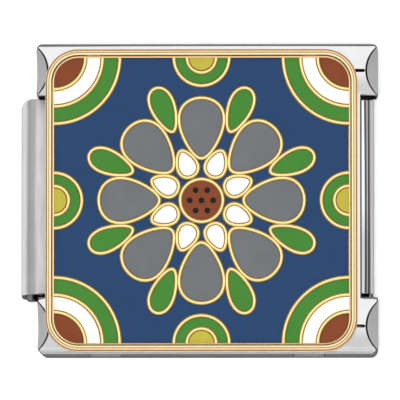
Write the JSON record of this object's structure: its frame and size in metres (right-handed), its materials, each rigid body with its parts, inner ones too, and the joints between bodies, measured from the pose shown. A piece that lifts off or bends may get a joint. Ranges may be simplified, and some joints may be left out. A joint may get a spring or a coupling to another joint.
{
  "type": "bracelet charm link",
  "caption": "Square snap-together bracelet link: sprung steel case, swinging hook, gilt tray with an enamelled rosette.",
  "frame": {"origin": "middle of the link's back, on the plane that it lies on", "axes": "+X along the bracelet towards the sprung hook, +Y across the band, +Z out of the enamelled face"},
  "size_m": [0.0104, 0.009, 0.0043],
  "materials": {
    "polished_steel": "polished stainless steel",
    "spring_steel": "bright rolled spring steel",
    "gilt_brass": "polished gold plating",
    "enamel": "fired cell enamel, slightly domed and glossy"
  },
  "bodies": {
    "case": {"upper_case": "polished_steel", "lower_case": "polished_steel", "hinge_pin": "spring_steel", "leaf_spring": "spring_steel", "staple_near_left": "spring_steel", "staple_far_left": "spring_steel", "staple_near_right": "spring_steel", "staple_far_right": "spring_steel", "face_tray": "gilt_brass", "enamel_panel": "enamel"},
    "hook": {"hook": "polished_steel"}
  },
  "joints": [
    {"name": "hook_swing", "type": "hinge", "parent": "case", "child": "hook", "pos_m": [0.00477, 0, 0.00314], "axis": [0, -1, 0], "range_deg": [0, 70], "stiffness_Nm_per_rad": 0.0005, "springref_deg": -11.46}
  ]
}
